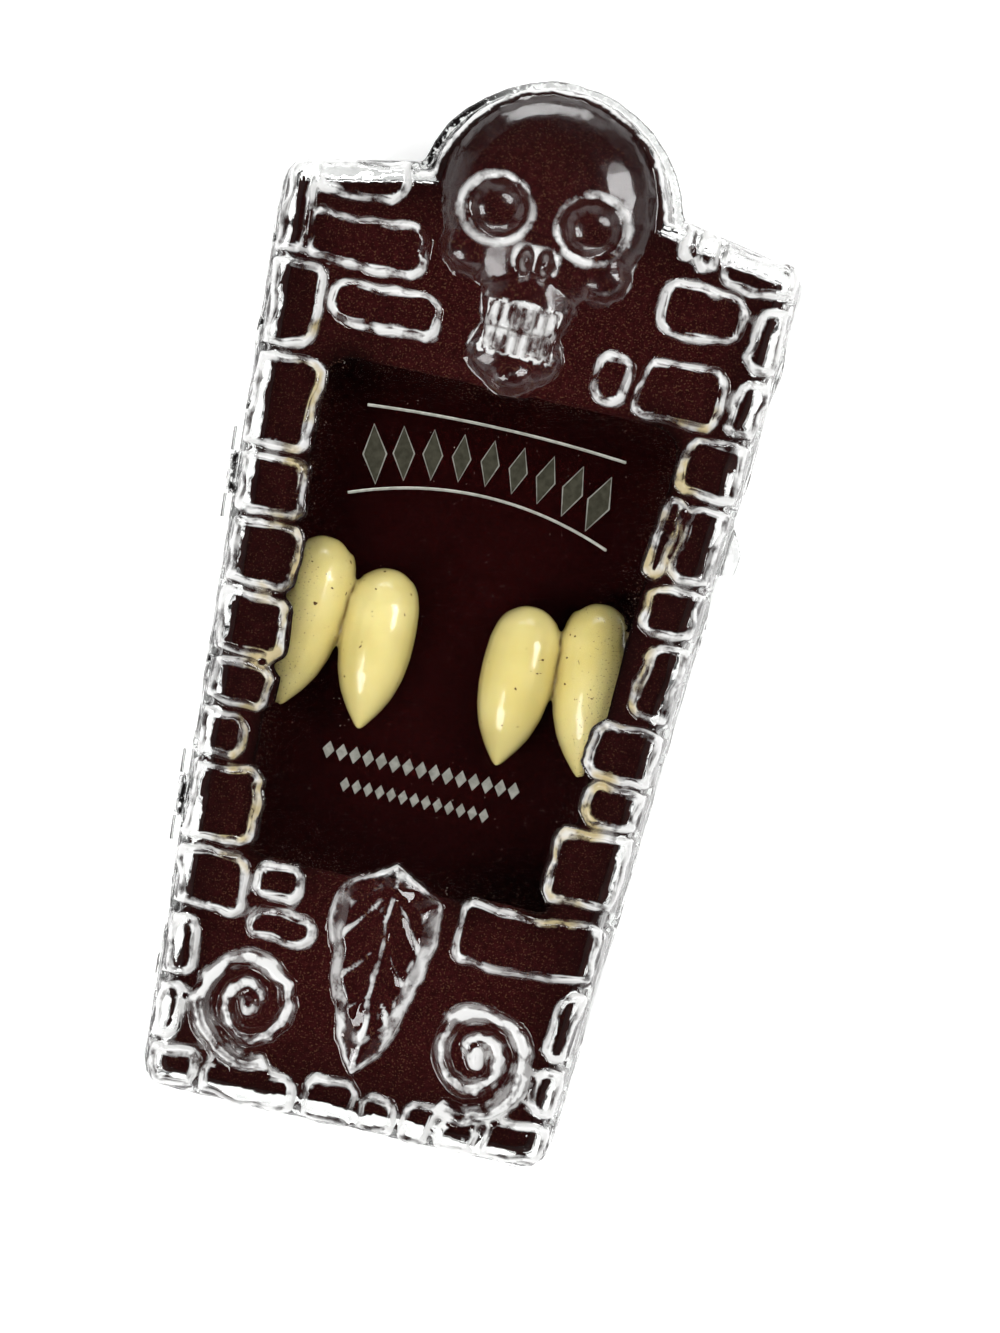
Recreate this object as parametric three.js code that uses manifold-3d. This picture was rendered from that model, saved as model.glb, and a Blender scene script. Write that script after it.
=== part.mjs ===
// Double vampire fang caps in a clear coffin-shaped case with a hinged lid.
// Millimetres, +Z up, +Y towards the domed head. The case lies on its back on z = 0.
import * as THREE from 'three';
import { mergeVertices } from 'three/addons/utils/BufferGeometryUtils.js';
import Module from 'manifold-3d';

const wasm = await Module();
wasm.setup();

// Plan of the case
const caseLength = 110.4;
const shoulderWidth = 55.4;
const footWidth = 42.8;
const domeRadius = 14.0;
const shoulderBelowCrown = 14.0;
const shoulderSlope = 0.2;
const cornerRadius = 2.8;
const leastCornerRadius = 0.6;
const cornerSegments = 3;
const domeSegments = 16;

// Base tray
const baseHeight = 7.0;
const floorThickness = 1.2;
const baseWall = 1.2;
const baseDraft = 1.2;
const flangeWidth = 0.8;
const flangeThickness = 0.8;
const lipHeight = 1.2;
const lipThickness = 1.0;
const lipClearance = 0.25;
const lipRoot = 2.4;

// Lid
const rimGap = 0.2;
const lidHeight = 11.2;
const lidWall = 1.0;
const lidDraft = 1.2;
const plateThickness = 1.3;

// Stone blocks of the lid's border
const stoneRise = 1.1;
const stoneProud = 0.7;
const stoneChamfer = 0.5;
const stoneCornerRadius = 0.9;
const stoneWobble = 0.22;
const edgeReach = 1.1;
const lowCourseHeight = 3.9;
const bedJoint = 0.7;
const lowStonePitch = 8.4;
const lowStoneJoint = 0.9;
const cornerShareOfEdge = 0.42;

// Skull, shield and scrolls of the lid
const skullWidth = 23.2;
const skullRise = 3.4;
const skullSink = 1.2;
const skullSocketFloor = 0.6;
const shieldRise = 2.2;
const scrollRadius = 6.1;
const scrollTurns = 1.75;
const scrollRise = 1.7;
const scrollHalfWidth = 1.05;
const scrollSteps = 22;
const scrollStart = -120;
const scrollPlace = { across: 0.535, along: 0.099 };
const scrollTaper = { radius: 0.78, width: 0.45, rise: 0.25 };
const scrollBoss = 1.2;

// Thumb tab and hinge
const tabLength = 7.0;
const tabReach = 1.6;
const tabShare = 0.7;
const tabCrest = { start: 0.2, end: 0.85 };
const hingeShares = [0.31, 0.66];
const knuckleRadius = 0.85;
const hingeOut = 0.2;
const rodRadius = 0.4;
const rodClearance = 0.08;
const clipLength = 4.0;
const lugLength = 2.5;
const hingeGap = 0.25;
const clipMouth = 0.6;
const hingeSides = 12;

// Pad and liner
const seatGap = 0.3;
const padHeight = 7.2;
const padChamfer = 0.6;
const linerThickness = 0.5;
const linerLift = 0.6;
const linerMargin = 0.4;
const windowHead = 0.70;
const windowFoot = 0.235;
const windowAcross = 0.70;
const windowCornerRadius = 3.0;

// Fang caps
const toothWidth = 7.7;
const toothHeight = 6.6;
const toothLength = 16.8;
const outerToothLength = 18.0;
const toothWall = 0.9;
const toothPitch = 6.3;
const outerToothLift = 1.8;
const outerToothSplay = 4.5;
const outerToothRoll = 12;
const fangInset = 7.6;
const fangTop = 1.5;
const leftPairLift = 0.6;
const socketEnd = 0.56;
const gumSlotWidth = 4.4;
const gumSlotHeight = 2.0;
const gumSlotEnd = 0.2;
const innerToothSplay = -1;

const yFoot = -caseLength / 2;
const yCrown = caseLength / 2;
const yShoulder = yCrown - shoulderBelowCrown;
const yDome = yCrown - domeRadius;
const lidBottom = baseHeight + rimGap;
const plateTop = lidBottom + lidHeight;
const plateUnder = plateTop - plateThickness;
const lidFlangeTop = lidBottom + flangeThickness;
const stoneTop = plateTop + stoneRise;
const hingeHeight = baseHeight - knuckleRadius - 0.1;
const lidLean = lidDraft / (lidHeight - plateThickness);
const fuse = 0.3;

// Closed solids from rings of points

function solidFrom(points, triangles) {
  const positions = [];
  for (const p of points) {
    positions.push(p.x, p.y, p.z);
  }
  const geometry = new THREE.BufferGeometry();
  geometry.setAttribute('position', new THREE.Float32BufferAttribute(positions, 3));
  geometry.setIndex(triangles);
  return solidOf(geometry);
}

function solidOf(geometry) {
  const bare = geometry.clone();
  bare.deleteAttribute('normal');
  bare.deleteAttribute('uv');
  const merged = mergeVertices(bare, 1e-4);
  const mesh = new wasm.Mesh({
    numProp: 3,
    vertProperties: new Float32Array(merged.attributes.position.array),
    triVerts: new Uint32Array(merged.index.array),
  });
  return new wasm.Manifold(mesh);
}

function signedVolume(points, triangles) {
  let sum = 0;
  for (let i = 0; i < triangles.length; i += 3) {
    const [a, b, c] = [0, 1, 2].map((k) => points[triangles[i + k]]);
    sum += a.dot(new THREE.Vector3().crossVectors(b, c)) / 6;
  }
  return sum;
}

// Rings of equal length joined into one body. The cap is the shape that closes its two ends.
function loft(rings, cap = rings[0].map((p) => new THREE.Vector2(p.x, p.y))) {
  const count = rings[0].length;
  const points = rings.flat();
  const triangles = [];
  for (let r = 0; r < rings.length - 1; r += 1) {
    for (let i = 0; i < count; i += 1) {
      const a = r * count + i;
      const b = r * count + ((i + 1) % count);
      triangles.push(a, b, b + count, a, b + count, a + count);
    }
  }
  const last = (rings.length - 1) * count;
  for (const [a, b, c] of THREE.ShapeUtils.triangulateShape(cap, [])) {
    triangles.push(a, c, b, last + a, last + b, last + c);
  }
  if (signedVolume(points, triangles) < 0) {
    triangles.reverse();
  }
  return solidFrom(points, triangles);
}

function atHeight(plan, z) {
  return plan.map((p) => new THREE.Vector3(p.x, p.y, z));
}

function prism(plan, low, high) {
  return loft([atHeight(plan, low), atHeight(plan, high)]);
}

function unite(solids) {
  return solids.reduce((whole, next) => whole.add(next));
}

function degrees(angle) {
  return THREE.MathUtils.degToRad(angle);
}

// Plan outlines

function meet(p, dirP, q, dirQ) {
  const across = dirP.x * dirQ.y - dirP.y * dirQ.x;
  const t = ((q.x - p.x) * dirQ.y - (q.y - p.y) * dirQ.x) / across;
  return p.clone().addScaledVector(dirP, t);
}

// A corner of a plan turned into an arc that runs from one edge to the next.
function roundCorner(before, corner, after, radius, segments) {
  const back = before.clone().sub(corner).normalize();
  const ahead = after.clone().sub(corner).normalize();
  const half = Math.acos(THREE.MathUtils.clamp(back.dot(ahead), -1, 1)) / 2;
  const centre = back.clone().add(ahead).normalize().multiplyScalar(radius / Math.sin(half)).add(corner);
  const start = corner.clone().addScaledVector(back, radius / Math.tan(half)).sub(centre);
  const end = corner.clone().addScaledVector(ahead, radius / Math.tan(half)).sub(centre);
  const turn = Math.atan2(start.x * end.y - start.y * end.x, start.dot(end));
  const arc = [];
  for (let i = 0; i <= segments; i += 1) {
    arc.push(start.clone().rotateAround(new THREE.Vector2(), (turn * i) / segments).add(centre));
  }
  return arc;
}

// A polygon with round corners. The arcs that end on one edge never reach past each other.
function roundedPolygon(corners, radius, segments) {
  const count = corners.length;
  const rooms = corners.map((corner, i) => {
    const back = corners[(i + count - 1) % count].clone().sub(corner);
    const ahead = corners[(i + 1) % count].clone().sub(corner);
    const half = Math.acos(back.dot(ahead) / (back.length() * ahead.length())) / 2;
    return Math.min(back.length(), ahead.length()) * Math.tan(half);
  });
  const fitted = Math.min(radius, cornerShareOfEdge * Math.min(...rooms));
  return corners.flatMap((corner, i) => {
    const before = corners[(i + count - 1) % count];
    const after = corners[(i + 1) % count];
    return roundCorner(before, corner, after, fitted, segments);
  });
}

// Each edge of a plan that runs counterclockwise moved inwards, or outwards for a negative inset.
function insetPolygon(corners, inset) {
  const count = corners.length;
  const edges = corners.map((p, i) => {
    const along = corners[(i + 1) % count].clone().sub(p).normalize();
    const inward = new THREE.Vector2(-along.y, along.x);
    return { from: p.clone().addScaledVector(inward, inset), along };
  });
  return edges.map((edge, i) => {
    const last = edges[(i + count - 1) % count];
    return meet(last.from, last.along, edge.from, edge.along);
  });
}

const halfWidthAt = (y) => {
  const share = (y - yFoot) / (yShoulder - yFoot);
  return THREE.MathUtils.lerp(footWidth / 2, shoulderWidth / 2, share);
};

// The coffin's plan, moved inwards by the inset: foot, tapered sides, shoulders and round head.
function coffinPlan(inset) {
  const foot = new THREE.Vector2(footWidth / 2, yFoot);
  const shoulder = new THREE.Vector2(shoulderWidth / 2, yShoulder);
  const up = shoulder.clone().sub(foot).normalize();
  const shoulderRun = new THREE.Vector2(-1, shoulderSlope).normalize();
  const inward = new THREE.Vector2(-shoulderRun.y, shoulderRun.x);
  const footEdge = new THREE.Vector2(0, yFoot + inset);
  const sideEdge = foot.clone().add(new THREE.Vector2(-up.y, up.x).multiplyScalar(inset));
  const shoulderEdge = shoulder.clone().addScaledVector(inward, inset);
  const footCorner = meet(footEdge, new THREE.Vector2(1, 0), sideEdge, up);
  const shoulderCorner = meet(sideEdge, up, shoulderEdge, shoulderRun);

  const radius = domeRadius - inset;
  const fromDome = shoulderCorner.clone().sub(new THREE.Vector2(0, yDome));
  const b = fromDome.dot(shoulderRun);
  const reach = Math.max(0, b * b - fromDome.lengthSq() + radius * radius);
  const neck = shoulderCorner.clone().addScaledVector(shoulderRun, -b - Math.sqrt(reach));
  const start = Math.atan2(neck.y - yDome, neck.x);

  const fillet = Math.max(cornerRadius - inset, leastCornerRadius);
  const right = [
    ...roundCorner(footEdge, footCorner, shoulderCorner, fillet, cornerSegments),
    ...roundCorner(footCorner, shoulderCorner, neck, fillet, cornerSegments),
  ];
  const dome = [];
  for (let i = 0; i <= domeSegments; i += 1) {
    const angle = THREE.MathUtils.lerp(start, Math.PI - start, i / domeSegments);
    dome.push(new THREE.Vector2(radius * Math.cos(angle), yDome + radius * Math.sin(angle)));
  }
  const left = right.map((p) => new THREE.Vector2(-p.x, p.y)).reverse();
  return [...right, ...dome, ...left];
}

function coffinLoft(levels) {
  return loft(levels.map(({ inset, z }) => atHeight(coffinPlan(inset), z)));
}

// A point of the plan from its share of the half width and its share of the length from the foot.
function place(across, along) {
  const y = yFoot + along * caseLength;
  return new THREE.Vector2(across * halfWidthAt(y), y);
}

// Frame on a slanted side: X along the side, Y outwards, Z up, at a share of the side from the foot.
function sideFrame(side, share) {
  const foot = new THREE.Vector2((side * footWidth) / 2, yFoot);
  const shoulder = new THREE.Vector2((side * shoulderWidth) / 2, yShoulder);
  const up = shoulder.clone().sub(foot).normalize();
  const along = new THREE.Vector3(-side * up.x, -side * up.y, 0);
  const outward = new THREE.Vector3(side * up.y, -side * up.x, 0);
  const origin = foot.clone().lerp(shoulder, share);
  const frame = new THREE.Matrix4().makeBasis(along, outward, new THREE.Vector3(0, 0, 1));
  return frame.setPosition(origin.x, origin.y, 0);
}

function box(lowX, highX, lowY, highY, lowZ, highZ) {
  const geometry = new THREE.BoxGeometry(highX - lowX, highY - lowY, highZ - lowZ);
  return geometry.translate((lowX + highX) / 2, (lowY + highY) / 2, (lowZ + highZ) / 2);
}

// Hinge parts, in the side's own frame

const hingeSolids = (build) => unite(hingeShares.flatMap((share) => {
  const frame = sideFrame(-1, share);
  return build().map((geometry) => solidOf(geometry.applyMatrix4(frame)));
}));

function hingeBar(radius, low, high) {
  const bar = new THREE.CylinderGeometry(radius, radius, high - low, hingeSides);
  bar.rotateZ(Math.PI / 2);
  return bar.translate((low + high) / 2, hingeOut, hingeHeight);
}

const lugStart = clipLength / 2 + hingeGap;
const lugEnd = lugStart + lugLength;
const wallReach = flangeWidth + baseWall;

function baseHinge() {
  const webBottom = hingeHeight - knuckleRadius;
  const webTop = hingeHeight + knuckleRadius;
  const rootReach = -flangeWidth - baseWall / 2;
  return [
    hingeBar(rodRadius, -lugEnd + fuse, lugEnd - fuse),
    hingeBar(knuckleRadius, -lugEnd, -lugStart),
    hingeBar(knuckleRadius, lugStart, lugEnd),
    box(-lugEnd, -lugStart, rootReach, hingeOut, webBottom, webTop),
    box(lugStart, lugEnd, rootReach, hingeOut, webBottom, webTop),
  ];
}

function clipNotch() {
  const half = clipLength / 2 + hingeGap;
  return [box(-half, half, -flangeWidth, hingeOut + knuckleRadius, floorThickness, baseHeight + fuse)];
}

function lidClip() {
  const half = clipLength / 2;
  const clearOfWall = -flangeWidth + lipClearance;
  return [
    hingeBar(knuckleRadius, -half, half),
    box(-half, half, clearOfWall, hingeOut + knuckleRadius / 2, hingeHeight, lidFlangeTop),
  ];
}

function clipBore() {
  const half = clipLength / 2 + hingeGap;
  const roundRadius = (rodRadius + rodClearance) / Math.cos(Math.PI / hingeSides);
  const mouth = box(-half, half, hingeOut - clipMouth / 2, hingeOut + clipMouth / 2,
    hingeHeight - 2 * knuckleRadius, hingeHeight);
  return [hingeBar(roundRadius, -half, half), mouth];
}

// Base tray: floor, drafted wall, rim flange, locating lip and hinge lugs with their rods

function makeBase() {
  const bottomInset = flangeWidth + baseDraft;
  const outer = coffinLoft([{ inset: bottomInset, z: 0 }, { inset: flangeWidth, z: baseHeight }]);
  const hollow = coffinLoft([
    { inset: bottomInset + baseWall, z: floorThickness },
    { inset: flangeWidth + baseWall, z: baseHeight + fuse },
  ]);
  const flange = coffinLoft([
    { inset: 0, z: baseHeight - flangeThickness },
    { inset: 0, z: baseHeight },
  ]);
  const lipOuter = wallReach + lipClearance;
  const root = coffinLoft([
    { inset: flangeWidth + baseWall / 2, z: baseHeight - lipRoot },
    { inset: flangeWidth + baseWall / 2, z: baseHeight },
  ]);
  const lip = coffinLoft([
    { inset: lipOuter, z: baseHeight - fuse },
    { inset: lipOuter + lidLean * lipHeight, z: baseHeight + lipHeight },
  ]);
  const inside = coffinLoft([
    { inset: lipOuter + lipThickness, z: baseHeight - lipRoot - fuse },
    { inset: lipOuter + lipThickness, z: baseHeight + lipHeight + fuse },
  ]);
  const rim = unite([flange, root, lip]).subtract(inside);
  const tray = outer.subtract(hollow).add(rim);
  return tray.subtract(hingeSolids(clipNotch)).add(hingeSolids(baseHinge));
}

// Stone blocks: a row for each, in shares of the half width and of the length from the foot

const leftStones = [
  { low: 0.783, high: 0.877, inner: 0.855 },
  { low: 0.697, high: 0.775, inner: 0.75 },
  { low: 0.604, high: 0.688, inner: 0.71 },
  { low: 0.542, high: 0.595, inner: 0.685 },
  { low: 0.476, high: 0.534, inner: 0.675 },
  { low: 0.412, high: 0.469, inner: 0.67 },
  { low: 0.368, high: 0.405, inner: 0.67 },
  { low: 0.318, high: 0.36, inner: 0.75 },
  { low: 0.24, high: 0.31, inner: 0.65 },
  { low: 0.178, high: 0.232, inner: 0.635 },
  { low: 0.112, high: 0.168, inner: 0.82 },
  { low: 0.055, high: 0.103, inner: 0.82 },
];

const rightStones = [
  { low: 0.768, high: 0.828, inner: 0.84 },
  { low: 0.705, high: 0.758, inner: 0.85 },
  { low: 0.644, high: 0.697, inner: 0.715 },
  { low: 0.566, high: 0.636, inner: 0.80 },
  { low: 0.512, high: 0.558, inner: 0.735 },
  { low: 0.43, high: 0.504, inner: 0.79 },
  { low: 0.374, high: 0.422, inner: 0.68 },
  { low: 0.331, high: 0.367, inner: 0.70 },
  { low: 0.254, high: 0.324, inner: 0.635 },
  { low: 0.181, high: 0.236, inner: 0.32 },
  { low: 0.112, high: 0.17, inner: 0.82 },
  { low: 0.06, high: 0.104, inner: 0.82 },
];

const fieldStones = [
  { low: 0.845, high: 0.96, left: -0.865, right: -0.515 },
  { low: 0.78, high: 0.829, left: -0.855, right: -0.41 },
  { low: 0.729, high: 0.768, left: -0.715, right: -0.32 },
  { low: 0.85, high: 0.96, left: 0.503, right: 0.555 },
  { low: 0.842, high: 0.96, left: 0.58, right: 0.645 },
  { low: 0.838, high: 0.96, left: 0.67, right: edgeReach },
  { low: 0.787, high: 0.832, left: 0.49, right: 0.80 },
  { low: 0.704, high: 0.76, left: 0.49, right: 0.81 },
  { low: 0.712, high: 0.756, left: 0.31, right: 0.45 },
  { low: 0.564, high: 0.638, left: 0.70, right: 0.775 },
  { low: 0.198, high: 0.232, left: -0.60, right: -0.40 },
  { low: 0.163, high: 0.19, left: -0.62, right: -0.30 },
  { low: -0.05, high: 0.048, left: -edgeReach, right: -0.72 },
  { low: -0.05, high: 0.044, left: -0.69, right: -0.25 },
  { low: -0.05, high: 0.05, left: -0.22, right: 0.05 },
  { low: -0.05, high: 0.042, left: 0.08, right: 0.23 },
  { low: -0.05, high: 0.048, left: 0.26, right: 0.43 },
  { low: -0.05, high: 0.042, left: 0.46, right: 0.63 },
  { low: -0.05, high: 0.05, left: 0.66, right: edgeReach },
];

const stones = [
  ...leftStones.map(({ low, high, inner }) => ({ low, high, left: -edgeReach, right: -inner })),
  ...rightStones.map(({ low, high, inner }) => ({ low, high, left: inner, right: edgeReach })),
  ...fieldStones,
];

// A hand-cut block's corners: each one is a little off the true rectangle.
function stoneCorners({ low, high, left, right }, index) {
  const square = [place(left, low), place(right, low), place(right, high), place(left, high)];
  return square.map((p, k) => {
    const angle = 2.4 * index + 1.9 * k;
    return new THREE.Vector2(p.x + stoneWobble * Math.sin(angle), p.y + stoneWobble * Math.cos(1.7 * angle));
  });
}

function stonePlan(stone, index, inset) {
  const radius = Math.max(stoneCornerRadius - inset, stoneCornerRadius / 3);
  return roundedPolygon(insetPolygon(stoneCorners(stone, index), inset), radius, 1);
}

const stoneFoot = lidBottom + flangeThickness / 2;
const bedHeight = lidFlangeTop + lowCourseHeight;

// A block of the upper course, which also covers the plate.
function stoneBlock(stone, index) {
  const foot = atHeight(stonePlan(stone, index, 0), bedHeight + bedJoint);
  const edge = atHeight(stonePlan(stone, index, 0), stoneTop - stoneChamfer);
  const top = atHeight(stonePlan(stone, index, stoneChamfer), stoneTop);
  return loft([foot, edge, top]);
}

// The lower course runs along both sides in even blocks and along the foot.
function lowCourse() {
  const sideLength = yShoulder - yFoot;
  const count = Math.round(sideLength / lowStonePitch);
  const pitch = sideLength / caseLength / count;
  const joint = lowStoneJoint / caseLength;
  const blocks = [];
  for (let i = 0; i < count; i += 1) {
    const low = i * pitch + (i === 0 ? -pitch : joint);
    const high = (i + 1) * pitch - (i === count - 1 ? -pitch : 0);
    blocks.push({ low, high, left: -edgeReach, right: -0.5 }, { low, high, left: 0.5, right: edgeReach });
  }
  const footCount = Math.round(footWidth / lowStonePitch);
  const footJoint = lowStoneJoint / footWidth;
  for (let i = 1; i < footCount - 1; i += 1) {
    const left = -1 + (2 * i) / footCount + footJoint;
    blocks.push({ low: -pitch, high: pitch, left, right: left + 2 / footCount - footJoint });
  }
  return blocks.map((block) => {
    const plan = [
      place(block.left, block.low),
      place(block.right, block.low),
      place(block.right, block.high),
      place(block.left, block.high),
    ];
    return prism(plan, stoneFoot, bedHeight);
  });
}

const plateInset = flangeWidth + lidDraft;

function makeStones() {
  const skin = coffinLoft([
    { inset: flangeWidth - stoneProud, z: stoneFoot },
    { inset: plateInset - stoneProud, z: stoneTop - stoneChamfer },
    { inset: plateInset - stoneProud + stoneChamfer, z: stoneTop },
  ]);
  return unite([...stones.map(stoneBlock), ...lowCourse()]).intersect(skin);
}

// Skull: forms in shares of its half width from the middle of the dome, heights in shares of its rise

const skullForms = [
  { across: 0, along: 0.04, wide: 0.98, long: 0.98, high: 1.0, sides: 22 },
  { across: 0.6, along: -0.5, wide: 0.3, long: 0.26, high: 0.66, sides: 10 },
  { across: -0.6, along: -0.5, wide: 0.3, long: 0.26, high: 0.66, sides: 10 },
  { across: 0, along: -0.84, wide: 0.47, long: 0.44, high: 0.8, sides: 14 },
  { across: 0, along: -1.3, wide: 0.5, long: 0.36, high: 0.6, sides: 14 },
  { across: 0, along: -1.5, wide: 0.26, long: 0.2, high: 0.74, sides: 10 },
];

const skullHollows = [
  { across: 0.43, along: -0.12, wide: 0.31, long: 0.29, sides: 12 },
  { across: -0.43, along: -0.12, wide: 0.31, long: 0.29, sides: 12 },
  { across: 0.085, along: -0.52, wide: 0.1, long: 0.16, sides: 8 },
  { across: -0.085, along: -0.52, wide: 0.1, long: 0.16, sides: 8 },
  { across: 0.66, along: -0.86, wide: 0.14, long: 0.3, sides: 8 },
  { across: -0.66, along: -0.86, wide: 0.14, long: 0.3, sides: 8 },
];

const skullUnit = skullWidth / 2;
const skullTeeth = 6;
const skullToothPitch = 0.105;
const skullToothHalfWidth = 0.046;
const skullToothRise = 0.72;
const skullMouth = { across: 0, along: -1.12, wide: 0.4, long: 0.19, sides: 10 };
const skullToothRows = [{ along: -1.03, long: 0.1 }, { along: -1.2, long: 0.085 }];

function ellipsoid({ across, along, wide, long, sides }, z, halfHeight) {
  const ball = new THREE.SphereGeometry(1, sides, Math.ceil(sides / 2));
  ball.rotateX(Math.PI / 2);
  ball.scale(wide * skullUnit, long * skullUnit, halfHeight);
  return solidOf(ball.translate(across * skullUnit, yDome + along * skullUnit, z));
}

function makeSkull() {
  const forms = skullForms.map((form) => {
    const halfHeight = skullSink + form.high * skullRise;
    return ellipsoid(form, plateTop - skullSink, halfHeight);
  });
  const hollows = [...skullHollows, skullMouth].map((hollow) => {
    const halfHeight = skullRise - skullSocketFloor;
    return ellipsoid(hollow, plateTop + skullRise, halfHeight);
  });
  const teeth = [];
  for (const row of skullToothRows) {
    for (let i = 0; i < skullTeeth; i += 1) {
      const x = (i - (skullTeeth - 1) / 2) * skullToothPitch * skullUnit;
      const halfWidth = skullToothHalfWidth * skullUnit;
      const y = yDome + row.along * skullUnit;
      const reach = row.long * skullUnit;
      teeth.push(solidOf(box(x - halfWidth, x + halfWidth, y - reach, y + reach,
        plateTop - fuse, plateTop + skullToothRise * skullRise)));
    }
  }
  return unite(forms).subtract(unite(hollows)).add(unite(teeth));
}

// Pointed shield between two scrolls at the foot, in the same shares as the stones

const shieldHalf = [
  { across: 0.0, along: 0.055 },
  { across: 0.11, along: 0.085 },
  { across: 0.17, along: 0.13 },
  { across: 0.25, along: 0.19 },
  { across: 0.22, along: 0.225 },
  { across: 0.11, along: 0.238 },
];
const shieldPeak = { across: 0, along: 0.258 };
const shieldBoss = { across: 0, along: 0.177 };
const shieldSteps = [
  { shrink: 0, high: 0 },
  { shrink: 0, high: 0.45 },
  { shrink: 0.28, high: 1 },
];

function makeShield() {
  const right = shieldHalf.map(({ across, along }) => place(across, along));
  const peak = place(shieldPeak.across, shieldPeak.along);
  const left = right.slice(1).map((p) => new THREE.Vector2(-p.x, p.y)).reverse();
  const plan = [...right, peak, ...left];
  const middle = place(shieldBoss.across, shieldBoss.along);
  return loft(shieldSteps.map(({ shrink, high }) => {
    const z = high === 0 ? plateTop - fuse : plateTop + high * shieldRise;
    return atHeight(plan.map((p) => p.clone().lerp(middle, shrink)), z);
  }));
}

const scrollProfile = [
  [1, 0], [0.85, 0.6], [0.35, 1], [-0.35, 1], [-0.85, 0.6], [-1, 0],
].map(([x, y]) => new THREE.Vector2(x, y));

// A spiral ridge that grows thinner towards its eye, where it ends in a round boss.
function makeScroll(side) {
  const centre = place(side * scrollPlace.across, scrollPlace.along);
  const rings = [];
  for (let i = 0; i <= scrollSteps; i += 1) {
    const share = i / scrollSteps;
    const angle = degrees(scrollStart) + share * scrollTurns * 2 * Math.PI;
    const radius = scrollRadius * (1 - scrollTaper.radius * share);
    const outward = new THREE.Vector3(side * Math.cos(angle), Math.sin(angle), 0);
    const halfWidth = scrollHalfWidth * (1 - scrollTaper.width * share);
    const high = scrollRise * (1 - scrollTaper.rise * share);
    rings.push(scrollProfile.map(({ x, y }) => new THREE.Vector3(centre.x, centre.y, plateTop - fuse)
      .addScaledVector(outward, radius + x * halfWidth)
      .setZ(plateTop - fuse + y * (high + fuse))));
  }
  const boss = new THREE.SphereGeometry(scrollBoss, 10, 6);
  boss.translate(centre.x, centre.y, plateTop + scrollRise / 3);
  return loft(rings, scrollProfile).add(solidOf(boss));
}

// Thumb tab, widest at its lower end
function makeTab() {
  const half = tabLength / 2;
  const plan = [
    [-half, -flangeWidth],
    [half, -flangeWidth],
    [tabCrest.end * half, tabReach],
    [tabCrest.start * half, tabReach],
  ];
  const rings = [lidBottom, lidFlangeTop].map((z) => plan.map(([x, y]) => new THREE.Vector3(x, y, z)));
  const frame = sideFrame(1, tabShare);
  return loft(rings.map((ring) => ring.map((p) => p.applyMatrix4(frame))));
}

// Lid: drafted shell with flange, stones, skull, shield and scrolls, hollow from below

function makeLid() {
  const shell = coffinLoft([{ inset: flangeWidth, z: lidBottom }, { inset: plateInset, z: plateTop }]);
  const flange = coffinLoft([{ inset: 0, z: lidBottom }, { inset: 0, z: lidFlangeTop }]);
  const hollow = coffinLoft([
    { inset: wallReach, z: lidBottom },
    { inset: plateInset + lidWall, z: plateUnder },
  ]);
  const mouth = coffinLoft([{ inset: wallReach, z: lidBottom - fuse }, { inset: wallReach, z: lidBottom }]);
  const relief = unite([makeStones(), makeSkull(), makeShield(), makeScroll(1), makeScroll(-1)]);
  const closed = unite([shell, flange, relief, makeTab()]);
  const open = closed.subtract(hollow.add(mouth));
  return open.add(hingeSolids(lidClip)).subtract(hingeSolids(clipBore));
}

// Flocked pad that fills the tray
function makePad() {
  const inset = wallReach + lipClearance + lipThickness + seatGap;
  return coffinLoft([
    { inset: Math.max(inset, flangeWidth + baseDraft + baseWall + seatGap), z: floorThickness + seatGap },
    { inset, z: padHeight - padChamfer },
    { inset: inset + padChamfer, z: padHeight },
  ]);
}

// Flocked lining inside the lid: a frame under the plate, whose window follows the inner stones,
// and a skirt down the walls that ends above the base's lip
function makeLiner() {
  const top = plateUnder - seatGap;
  const bottom = top - linerThickness;
  const skirtEnd = baseHeight + lipHeight + linerLift;
  const wallLean = (plateInset + lidWall - wallReach) / (plateUnder - lidBottom);
  const insetAt = (z) => wallReach + wallLean * (z - lidBottom) + seatGap;
  const outer = coffinLoft([
    { inset: insetAt(skirtEnd), z: skirtEnd },
    { inset: insetAt(top), z: top },
  ]);
  const hollow = coffinLoft([
    { inset: insetAt(skirtEnd - fuse) + linerThickness, z: skirtEnd - fuse },
    { inset: insetAt(bottom) + linerThickness, z: bottom },
  ]);
  const shell = outer.subtract(hollow);
  const sheet = coffinLoft([{ inset: insetAt(top), z: bottom }, { inset: insetAt(top), z: top }]);
  const corners = [
    place(-windowAcross, windowFoot),
    place(windowAcross, windowFoot),
    place(windowAcross, windowHead),
    place(-windowAcross, windowHead),
  ];
  const window = prism(roundedPolygon(corners, windowCornerRadius, 4), bottom - fuse, top + fuse);
  const behindStones = stones.map((stone, i) => prism(stonePlan(stone, i, -linerMargin), bottom, top));
  return shell.subtract(window).add(sheet.intersect(unite(behindStones)));
}

// Fang caps: sections in shares of the tooth's length, width and height

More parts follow.
